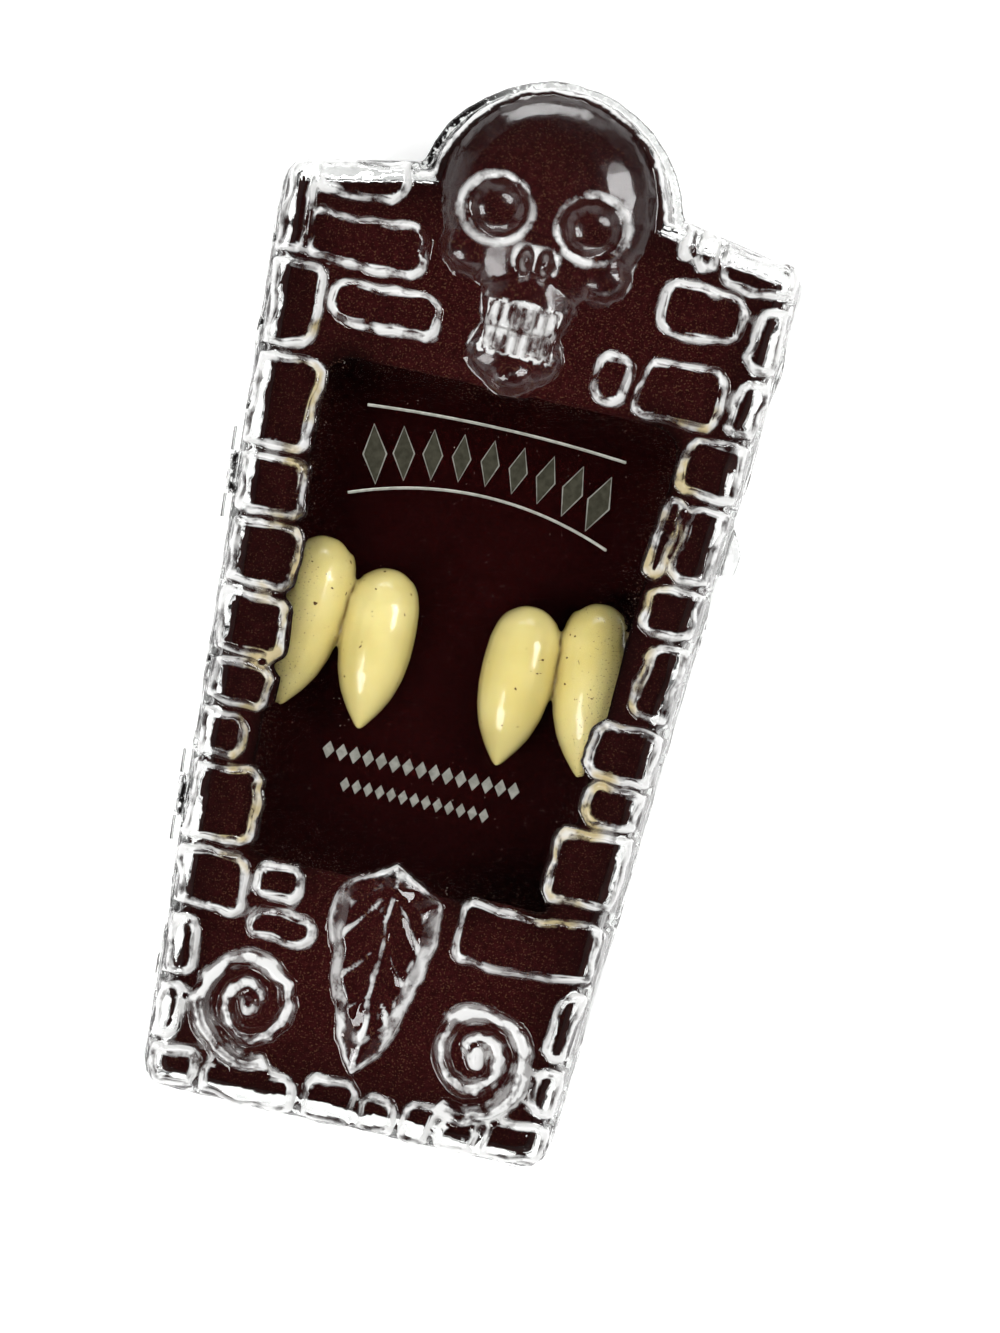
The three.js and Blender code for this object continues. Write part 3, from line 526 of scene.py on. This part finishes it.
broad = np.sum((points - spread(lid.data, points, SKULL_REACH)) * normals, axis=1)
broad = (broad - SKULL_LINE[0]) / (SKULL_LINE[1] - SKULL_LINE[0]) * on_skull * (1 - in_mouth)
crest = np.clip(np.maximum(sharp, broad), 0, 1) * softer
to_socket = np.hypot((np.abs(x) - SOCKET["across"]) / SOCKET["wide"], (y - SOCKET["y"]) / SOCKET["long"])
socket_rim = bump_at(to_socket - 1.03, 0.15) * on_skull * SOCKET["share"]
crest = np.maximum(crest, socket_rim * (1 + 0.35 * over(SOCKET["y"] - y, -2, 2)))
foot = np.clip(-stands_out / FOOT, 0, 1) * FOOT_SHARE
flank = over(1 - np.abs(normals[:, 2]) - 0.25 * on_skull, 0.08, 0.30) * relief * FLANK_SHARE
flank *= (1 - 0.5 * in_scroll) * (1 - 0.4 * on_shield) * (1 - 0.85 * on_skull)
dome_rim = over(1 - np.abs(normals[:, 2]), 0.45, 0.85) * on_skull * over(PLATE_TOP + 2.2 - z, 0, 1.0)
flank = np.maximum(flank, dome_rim * DOME_SHARE)
# Painted highlight: crest, foot and flank together say where the white skin lies.
edge = np.maximum(np.maximum(crest, foot), flank) * outer
keep_value(lid.data, "edge", edge * np.maximum(relief, 1 - in_window))
# Where the painted white edges turn yellowish: next to the window.
by_window = over(3.0 - np.abs(to_side + 0.4), 0, 1.4)
by_window *= (y > WINDOW["foot"] - 2) * (y < WINDOW["head"] + 3)
keep_value(lid.data, "window_tint", by_window)
keep_value(lid.data, "satin", on_skull * SKULL_SATIN)
# Painted reflection: dark patches on the walls and the flange's top, strongest on the left and at the foot.
side = LIT_SIDE + (1 - LIT_SIDE) * np.maximum(over(-x, 0, 10), over(-y, 46, 52))
wall = outward * over(z, FLANGE_TOP + 0.3, FLANGE_TOP + 1.5) * over(PLATE_TOP - 0.9 - z, 0, 0.8)
flange = over(normals[:, 2], 0.5, 0.8) * over(FLANGE_TOP + 0.6 - z, 0, 0.3)
keep_value(lid.data, "painted_dark_patches", np.maximum(wall * WALL_PAINTED_DARK, flange) * side)

# %% [markdown]
# The stone blocks look hand cut: their faces get a shallow unevenness and the rim a
# slight waver, while the flat window and the hinge stay true.

# %% Lid, hand cut
COARSE, FINE, WAVER = (0.18, 0.36), (0.035, 1.1), (0.45, 0.2)
HINGE_PLACES, HINGE_CLEAR = (along(0.5) - 25.3, along(0.5) + 8.4), 5.0
uneven = outer * np.maximum(relief, 1 - in_window) * (1 - 0.7 * on_skull)
rough = wobble(points, *COARSE) + wobble(points, *FINE)
points = points + normals * (rough * uneven)[:, None]
rim = outward * (np.abs(normals[:, 2]) < 0.5) * (z < FLANGE_TOP + 0.1)
for place in HINGE_PLACES:
    rim = rim * np.where(x < 0, over(np.abs(y - place), HINGE_CLEAR, HINGE_CLEAR + 1.5), 1.0)
rim = np.clip(spread(lid.data, rim[:, None], 3)[:, 0] * 1.6, 0, 1)
flat_out = from_middle / np.maximum(np.linalg.norm(from_middle, axis=1), 1e-6)[:, None]
points = points + flat_out * (wobble(points * (1, 1, 0), *WAVER) * rim)[:, None]
set_points(lid.data, points)
print("lid skin:", len(points), "points, relief on", round(float((relief > 0.5).mean()), 3), "of them")
lid = thinned(lid, MOST_TRIANGLES)
dressed(lid, clear_plastic("clear_lid_plastic", True), "lid", "case_lid")

# %% [markdown]
# The base is a plain shallow tray. Its faces are already right, so only its edges are
# eased by a small bevel before it gets the same plastic without the white edges.

# %% Base tray
BASE_BEVEL = 0.12
base = welded_copy("case_base", "clear_base", 1 / MM)
ease = base.modifiers.new("edge", "BEVEL")
ease.width, ease.segments, ease.limit_method = BASE_BEVEL, 2, "ANGLE"
ease.angle_limit = math.radians(30)
base = thinned(applied(base), MOST_TRIANGLES)
dressed(base, clear_plastic("clear_base_plastic", False), "case", "case_base")

# %% [markdown]
# The two double caps are polished dental acrylic: ivory and a little translucent, with a
# few specks from casting. Painted shade turns them browner in the groove between the
# teeth, at the gum end and on their steep sides.

# %% Fang caps
CAP_VOXEL, CAP_MELT, CAP_FILL = 0.2, 16, 0.05
GROOVE_REACH, GROOVE_DEPTH = 12, 0.09
STEEP, STEEP_SHADE_SHARE = (0.45, 1.0), 0.5
IVORY_DEEP, IVORY_LIGHT = (0.63, 0.52, 0.185), (0.77, 0.66, 0.28)
PAINTED_SHADE_BROWN, SPECK_BROWN = (0.26, 0.17, 0.05, 1), (0.10, 0.05, 0.02, 1)


def fang_acrylic():
    """Polished ivory acrylic with a clear, glossy skin."""
    material, tree, out = new_finish("fang_acrylic")
    cloud = ramp(tree, grain(tree, 110, 2), (0.35, IVORY_DEEP), (0.65, IVORY_LIGHT))
    # Painted shade: browner where the stored value marks the groove and the steep sides.
    shaded_ivory = blend_colours(tree, kept(tree, "painted_fang_shade"), cloud, PAINTED_SHADE_BROWN)
    specks = ramp(tree, grain(tree, 1500, 1, 0.4), (0.74, 0.0), (0.77, 1.0))
    colour = blend_colours(tree, specks, shaded_ivory, SPECK_BROWN)
    polish = ramp(tree, grain(tree, 700, 3), (0.3, 0.14), (0.8, 0.24))
    acrylic = step(tree, "ShaderNodeBsdfPrincipled", {
        "Base Color": colour, "Roughness": polish,
        "Subsurface Weight": 0.25, "Subsurface Radius": (1.0, 0.6, 0.25), "Subsurface Scale": 0.0012,
        "Coat Weight": 0.4, "Coat Roughness": 0.05,
    })
    tree.links.new(acrylic.outputs[0], out.inputs["Surface"])
    return material


acrylic_finish = fang_acrylic()
for node in ("fang_pair_left", "fang_pair_right"):
    cap = skin(node, node.replace("fang_pair", "double_cap"), CAP_VOXEL)
    cap_points = points_of(cap.data)
    for _ in range(CAP_MELT):
        cap_points = cap_points + (spread(cap.data, cap_points) - cap_points) * 0.5
    set_points(cap.data, cap_points)
    cap_points = cap_points + normals_of(cap.data) * CAP_FILL
    set_points(cap.data, cap_points)
    cap_normals = normals_of(cap.data)
    # Painted shade: the groove between the teeth and the steep sides are stored to turn browner.
    hollow = spread(cap.data, cap_points, GROOVE_REACH) - cap_points
    dip = np.sum(hollow * cap_normals, axis=1)
    steep_shade = over(1 - cap_normals[:, 2], *STEEP) * STEEP_SHADE_SHARE
    keep_value(cap.data, "painted_fang_shade", np.maximum(dip / GROOVE_DEPTH, steep_shade))
    dressed(cap, acrylic_finish, "case", node)

# %% [markdown]
# The bed and the lining are flocked: short fibres that drink up light. Both are maroon
# with a fine mottle where the fibres lie in different directions. The bed is coloured much
# the darker of the two, as painted shade for its place deep in the case.

# %% Flocked bed and lining
def flock(name, dark, light, grit, shade):
    """Flocked card: a fine two-tone mottle with paler grit, and painted shade towards an open rim."""
    material, tree, out = new_finish(name)
    mottle = ramp(tree, grain(tree, 2600, 4, 0.7), (0.35, dark), (0.7, light))
    if grit:
        grains = ramp(tree, grain(tree, 5200, 1, 0.4), (0.61, 0.0), (0.69, 1.0))
        mottle = blend_colours(tree, grains, mottle, (*grit, 1))
    # Painted shade: darker where the stored shade value is high.
    if shade:
        mottle = blend_colours(tree, kept(tree, "shade"), mottle, (*shade, 1))
    bump = step(tree, "ShaderNodeBump", {
        "Height": grain(tree, 4200, 2, 0.6), "Strength": 0.6, "Distance": 0.0001,
    })
    fibres = step(tree, "ShaderNodeBsdfPrincipled", {
        "Base Color": mottle, "Roughness": 0.95, "Specular IOR Level": 0.05, "Normal": bump.outputs[0],
    })
    tree.links.new(fibres.outputs[0], out.inputs["Surface"])
    return material


BED_VOXEL, BED_EASE, BED_LIFT, BED_LIFT_SCALE = 0.6, 3, 0.12, 0.22
# Painted shade: the bed's colours are darker for its place deep in the case.
bed_flock = flock("bed_flock", (0.007, 0.0001, 0.0001), (0.018, 0.0006, 0.0006), None, None)
# The lining's last colour is its painted shade next to the window.
border_flock = flock("border_flock", (0.014, 0.0013, 0.0014), (0.038, 0.0047, 0.0052),
                     (0.075, 0.034, 0.018), (0.0035, 0.0003, 0.0002))

bed = skin("flocked_pad", "flocked_bed", BED_VOXEL)
bed_points = eased(bed.data, BED_EASE)
bed_points = bed_points + normals_of(bed.data) * wobble(bed_points, BED_LIFT, BED_LIFT_SCALE)[:, None]
set_points(bed.data, bed_points)
to_side = WINDOW["across"] * half_width(bed_points[:, 1]) - np.abs(bed_points[:, 0])
open_bed = (to_side > -2) * (bed_points[:, 2] > pad_high.z - 0.3)
open_bed *= (bed_points[:, 1] > WINDOW["foot"] - 2) * (bed_points[:, 1] < WINDOW["head"] + 2)
keep_value(bed.data, "open", open_bed)
bed_source = bed.data.copy()
dressed(bed, bed_flock, "case", "flocked_pad")

# %% [markdown]
# The lining is glued to the plastic. With even a hair of air between them the walls
# would mirror the room and hide it, so its outer side is moved to just inside the
# plastic, which is what glue does: the maroon is then seen in the walls themselves.

# %% Lining, glued to the lid
GLUE = 0.06
OUT = SEAT_GAP + GLUE
LINING_VOXEL, LINING_TRIANGLES, SHADE_REACH = 0.4, 90000, 2.6
lining = welded_copy("border_liner", "border_lining", 1 / MM)
coat = bmesh.new()
coat.from_mesh(lining.data)
coat.normal_update()
top_points = {v for v in coat.verts if v.co.z > liner_high.z - 0.1}
moves = {}
for face in coat.faces:
    middle = face.calc_center_median()
    away = Vector((middle.x, middle.y - max(SPINE[0], min(SPINE[1], middle.y)), 0)).normalized()
    flat = Vector((face.normal.x, face.normal.y, 0))
    if abs(face.normal.z) < 0.5 and flat.dot(away) > 0.6:
        for v in face.verts:
            moves.setdefault(v, []).append(flat.normalized())
for v, ways in moves.items():
    v.co += sum(ways, Vector()).normalized() * OUT
for v in top_points:
    v.co.z += OUT
coat.to_mesh(lining.data)
coat.free()
fine_skin = lining.modifiers.new("skin", "REMESH")
fine_skin.mode, fine_skin.voxel_size = "VOXEL", LINING_VOXEL
lining = applied(lining)
lining_points = points_of(lining.data)
lx, ly, lz = lining_points.T
lining_normals = normals_of(lining.data)
from_core = np.stack([lx, ly - np.clip(ly, -30, 25), np.zeros_like(lz)], axis=1)
on_rim = (np.abs(lining_normals[:, 2]) < 0.6) * (np.sum(from_core * lining_normals, axis=1) < -1)
on_rim *= lz > liner_high.z - 1.2
on_rim *= WINDOW["across"] * half_width(ly) - np.abs(lx) > -5
rim_tree = kdtree.KDTree(int(on_rim.sum()))
for i, place in enumerate(lining_points[on_rim].astype(float)):
    rim_tree.insert(place, i)
rim_tree.balance()
to_rim = np.array([rim_tree.find(place)[2] for place in lining_points.astype(float)])
# Painted shade: the lining darkens towards the window's rim, into the dark bed.
keep_value(lining.data, "shade", np.exp(-to_rim / SHADE_REACH))
print("lining:", len(lining_points), "points,", int(on_rim.sum()), "of them on the window's rim")
lining = thinned(lining, LINING_TRIANGLES)
dressed(lining, border_flock, "lid", "border_liner")

# %% [markdown]
# What repeats is grown by Geometry Nodes: lint on the bed, the fine mist of maroon that
# strays from the lining into the window, and the foil ornament. Each tree has named
# inputs and ends in real geometry, which is then kept as a plain mesh.

# %% Helpers for growths
def new_growth(name, **inputs):
    """A Geometry Nodes tree with named inputs, its first sockets and its last."""
    tree = bpy.data.node_groups.new(name, "GeometryNodeTree")
    tree.interface.new_socket("Geometry", in_out="INPUT", socket_type="NodeSocketGeometry")
    tree.interface.new_socket("Geometry", in_out="OUTPUT", socket_type="NodeSocketGeometry")
    for label, kind in inputs.items():
        tree.interface.new_socket(label, in_out="INPUT", socket_type="NodeSocket" + kind)
    return tree, tree.nodes.new("NodeGroupInput").outputs, tree.nodes.new("NodeGroupOutput").inputs


def grown(name, source, tree, **values):
    """The growth on a source mesh, as a plain mesh object in millimetres."""
    piece = bpy.data.objects.new(name, source)
    bpy.context.collection.objects.link(piece)
    modifier = piece.modifiers.new(tree.name, "NODES")
    modifier.node_group = tree
    for item in tree.interface.items_tree:
        if item.in_out == "INPUT" and item.name in values:
            modifier[item.identifier] = values[item.name]
    mesh = applied(piece).data
    old = [mesh.materials[face.material_index] for face in mesh.polygons]
    used = [material for material in dict.fromkeys(old) if material]
    mesh.materials.clear()
    for material in used:
        mesh.materials.append(material)
    mesh.polygons.foreach_set("material_index", [used.index(m) if m else 0 for m in old])
    return piece


def last_steps(tree, geometry, material, out):
    """Real geometry with its material, at the end of a growth."""
    real = step(tree, "GeometryNodeRealizeInstances", {0: geometry}).outputs[0]
    painted = step(tree, "GeometryNodeSetMaterial", {"Geometry": real, "Material": material})
    tree.links.new(painted.outputs[0], out[0])


# %% [markdown]
# Lint is far too small to model by hand, and a painted speck would lie in the flock
# instead of on it. So tiny flat flecks are scattered over the open part of the bed,
# each one turned and sized by its own random value.

# %% Flecks scattered on a surface
FLECK_SHAPE = {"Segments": 5, "Rings": 3, "Radius": 1.0}
WIDE_SEED, TURN_SEED = 3, 5


def fleck_growth():
    """Tiny flat flecks at random places, denser where the source's value is high."""
    tree, given, out = new_growth("flecks", Density="Float", Least="Float", Most="Float",
                                  Thickness="Float", Seed="Int", Material="Material")
    value = step(tree, "GeometryNodeInputNamedAttribute", {"Name": "open"}, data_type="FLOAT")
    density = step(tree, "ShaderNodeMath", {0: value.outputs[0], 1: given["Density"]}, operation="MULTIPLY")
    places = step(tree, "GeometryNodeDistributePointsOnFaces", {
        "Mesh": given["Geometry"], "Density": density.outputs[0], "Seed": given["Seed"],
    })
    fleck = step(tree, "GeometryNodeMeshUVSphere", FLECK_SHAPE)
    long = step(tree, "FunctionNodeRandomValue", {2: given["Least"], 3: given["Most"], 8: given["Seed"]})
    wide = step(tree, "FunctionNodeRandomValue", {2: given["Least"], 3: given["Most"], 8: WIDE_SEED})
    sides = {0: long.outputs[1], 1: wide.outputs[1], 2: given["Thickness"]}
    size = step(tree, "ShaderNodeCombineXYZ", sides)
    any_turn = {0: (0, 0, 0), 1: (0, 0, math.tau), 8: TURN_SEED}
    turn = step(tree, "FunctionNodeRandomValue", any_turn, data_type="FLOAT_VECTOR")
    spots = step(tree, "GeometryNodeInstanceOnPoints", {
        "Points": places.outputs["Points"], "Instance": fleck.outputs["Mesh"],
        "Rotation": turn.outputs[0], "Scale": size.outputs[0],
    })
    last_steps(tree, spots.outputs[0], given["Material"], out)
    return tree


def plain_finish(name, dark, light, roughness, metallic=0.0, scale=1500):
    """A simple two-tone finish for small things."""
    material, tree, out = new_finish(name)
    colour = ramp(tree, grain(tree, scale), (0.35, dark), (0.65, light))
    shader = step(tree, "ShaderNodeBsdfPrincipled", {
        "Base Color": colour, "Roughness": roughness, "Metallic": metallic,
    })
    tree.links.new(shader.outputs[0], out.inputs["Surface"])
    return material


flecks = fleck_growth()
lint_finish = plain_finish("lint", (0.10, 0.05, 0.04), (0.42, 0.36, 0.32), 0.8, scale=120)
lint = grown("bed_lint", bed_source, flecks, Density=0.14, Least=0.03, Most=0.09, Thickness=0.03,
             Seed=4, Material=lint_finish)
dressed(lint, lint_finish, "case")

# %% [markdown]
# Cutting the window out of the flocked lining leaves a fine maroon dust that clings to
# the plastic next to it. The same growth makes it, on a thin sheet under the window
# whose value falls off quickly from the edge inwards.

# %% Mist from the lining
MIST_REACH, MIST_STEPS = 1.3, 90
mist_finish = plain_finish("mist", (0.020, 0.004, 0.003), (0.09, 0.035, 0.018), 0.8, scale=600)
sheet = bmesh.new()
bmesh.ops.create_grid(sheet, x_segments=MIST_STEPS, y_segments=MIST_STEPS, size=1)
for v in sheet.verts:
    y = WINDOW["foot"] + (v.co.y + 1) / 2 * (WINDOW["head"] - WINDOW["foot"])
    v.co = (v.co.x * WINDOW["across"] * half_width(y), y, PLATE_UNDER - 0.04)
mist_source = bpy.data.meshes.new("mist_sheet")
sheet.to_mesh(mist_source)
sheet.free()
mx, my, _ = points_of(mist_source).T
inside = np.minimum(my - WINDOW["foot"], WINDOW["head"] - my)
inside = np.minimum(WINDOW["across"] * half_width(my) - np.abs(mx), inside)
keep_value(mist_source, "open", np.exp(-inside / MIST_REACH))
mist = grown("lining_mist", mist_source, flecks, Density=15.0, Least=0.02, Most=0.08, Thickness=0.02,
             Seed=9, Material=mist_finish)
dressed(mist, mist_finish, "lid")

# %% [markdown]
# Instead of lettering the window carries a plain foil ornament: an arched row of
# lozenges that grow towards both ends, between two thin rules, and two short rows of
# small lozenges lower down. Each row is a path that the growth walks along.

# %% Foil rows
RIM_THICKNESS = 0.6


def foil_growth():
    """A row of lozenges along a path, each with a paler rim."""
    tree, given, out = new_growth("foil_row", Count="Int", Long="Float", Wide="Float", Swell="Float",
                                  Thickness="Float", Rim="Float", Face="Material", Edge="Material")
    path = step(tree, "GeometryNodeMeshToCurve", {"Mesh": given["Geometry"]}).outputs[0]
    places = step(tree, "GeometryNodeResampleCurve", {"Curve": path, "Count": given["Count"]})
    where = step(tree, "GeometryNodeSplineParameter").outputs["Factor"]
    off = step(tree, "ShaderNodeMath", {0: where, 1: 0.5}, operation="SUBTRACT").outputs[0]
    off = step(tree, "ShaderNodeMath", {0: off, 1: off}, operation="MULTIPLY").outputs[0]
    swell = step(tree, "ShaderNodeMath", {0: off, 1: given["Swell"], 2: 1.0}, operation="MULTIPLY_ADD")
    tangent = step(tree, "GeometryNodeInputTangent").outputs[0]
    turned = step(tree, "FunctionNodeAlignRotationToVector", {"Vector": tangent}, axis="X")
    kept_size = step(tree, "GeometryNodeCaptureAttribute", {0: places.outputs[0]})
    kept_size.capture_items.new("FLOAT", "Swell")
    tree.links.new(swell.outputs[0], kept_size.inputs[1])
    layers = []
    for grow, thick, material in ((0.0, 1.0, "Face"), (1.0, RIM_THICKNESS, "Edge")):
        rim = {0: given["Rim"], 1: grow}
        wide, tall = (
            step(tree, "ShaderNodeMath", {**rim, 2: given[side]}, operation="MULTIPLY_ADD")
            for side in ("Wide", "Long")
        )
        depth = step(tree, "ShaderNodeMath", {0: given["Thickness"], 1: thick}, operation="MULTIPLY")
        lozenge = step(tree, "GeometryNodeMeshCylinder", {"Vertices": 4, "Radius": 1.0, "Depth": 1.0})
        sides = {0: wide.outputs[0], 1: tall.outputs[0], 2: depth.outputs[0]}
        size = step(tree, "ShaderNodeCombineXYZ", sides).outputs[0]
        shaped = step(tree, "GeometryNodeTransform", {"Geometry": lozenge.outputs["Mesh"], "Scale": size})
        row = step(tree, "GeometryNodeInstanceOnPoints", {
            "Points": kept_size.outputs[0], "Instance": shaped.outputs[0],
            "Rotation": turned.outputs[0], "Scale": kept_size.outputs[1],
        })
        real = step(tree, "GeometryNodeRealizeInstances", {0: row.outputs[0]}).outputs[0]
        layers.append(step(tree, "GeometryNodeSetMaterial", {"Geometry": real, "Material": given[material]}))
    joined = tree.nodes.new("GeometryNodeJoinGeometry")
    for layer in layers:
        tree.links.new(layer.outputs[0], joined.inputs[0])
    tree.links.new(joined.outputs[0], out[0])
    return tree


def rule_growth():
    """A thin flat rule along a path."""
    tree, given, out = new_growth("foil_rule", Width="Float", Thickness="Float", Edge="Material")
    path = step(tree, "GeometryNodeMeshToCurve", {"Mesh": given["Geometry"]}).outputs[0]
    section = step(tree, "GeometryNodeCurvePrimitiveQuadrilateral", {
        "Width": given["Width"], "Height": given["Thickness"],
    })
    band_mesh = step(tree, "GeometryNodeCurveToMesh", {
        "Curve": path, "Profile Curve": section.outputs[0], "Fill Caps": True,
    })
    last_steps(tree, band_mesh.outputs[0], given["Edge"], out)
    return tree


def path_mesh(name, half, middle_y, sag, points=41):
    """A path across the case at the plate's top; sag lowers its two ends."""
    mesh = bpy.data.meshes.new(name)
    across = np.linspace(-half, half, points)
    height_of = middle_y - sag * (across / half) ** 2
    mesh.from_pydata([(a, h, PLATE_TOP + 0.03) for a, h in zip(across, height_of)],
                     [(i, i + 1) for i in range(points - 1)], [])
    return mesh


foil_face = plain_finish("foil_face", (0.055, 0.052, 0.034), (0.095, 0.090, 0.062), 0.4, 0.5)
foil_edge = plain_finish("foil_edge", (0.36, 0.36, 0.31), (0.55, 0.55, 0.49), 0.35, 0.5)
foil_row, foil_rule = foil_growth(), rule_growth()
ROWS = [
    {"half": 11.6, "y": 14.6, "sag": 1.6, "Count": 9, "Long": 2.3, "Wide": 0.86, "Swell": 1.1, "Rim": 0.13},
    {"half": 9.6, "y": -17.2, "sag": 0.0, "Count": 15, "Long": 0.8, "Wide": 0.5, "Swell": 0.0, "Rim": 0.10},
    {"half": 7.2, "y": -20.3, "sag": 0.0, "Count": 13, "Long": 0.65, "Wide": 0.4, "Swell": 0.0, "Rim": 0.10},
]
RULES = [
    {"half": 13.4, "y": 18.3, "sag": 0.6, "Width": 0.28},
    {"half": 13.4, "y": 11.2, "sag": 2.6, "Width": 0.28},
]
FOIL_THICKNESS = 0.05
foil_parts = []
for i, row in enumerate(ROWS):
    path = path_mesh("row_path", row["half"], row["y"], row["sag"])
    sizes = {key: row[key] for key in ("Count", "Long", "Wide", "Swell", "Rim")}
    foil_parts.append(grown(f"foil_row_{i}", path, foil_row, Thickness=FOIL_THICKNESS,
                            Face=foil_face if i == 0 else foil_edge, Edge=foil_edge, **sizes))
for i, rule in enumerate(RULES):
    path = path_mesh("rule_path", rule["half"], rule["y"], rule["sag"])
    foil_parts.append(grown(f"foil_rule_{i}", path, foil_rule, Width=rule["Width"],
                            Thickness=FOIL_THICKNESS, Edge=foil_edge))
for part in foil_parts:
    part.data.transform(Matrix.Scale(MM, 4))
    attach(part, "lid")
    print(part.name, len(part.data.polygons), "faces", [m.name for m in part.data.materials])
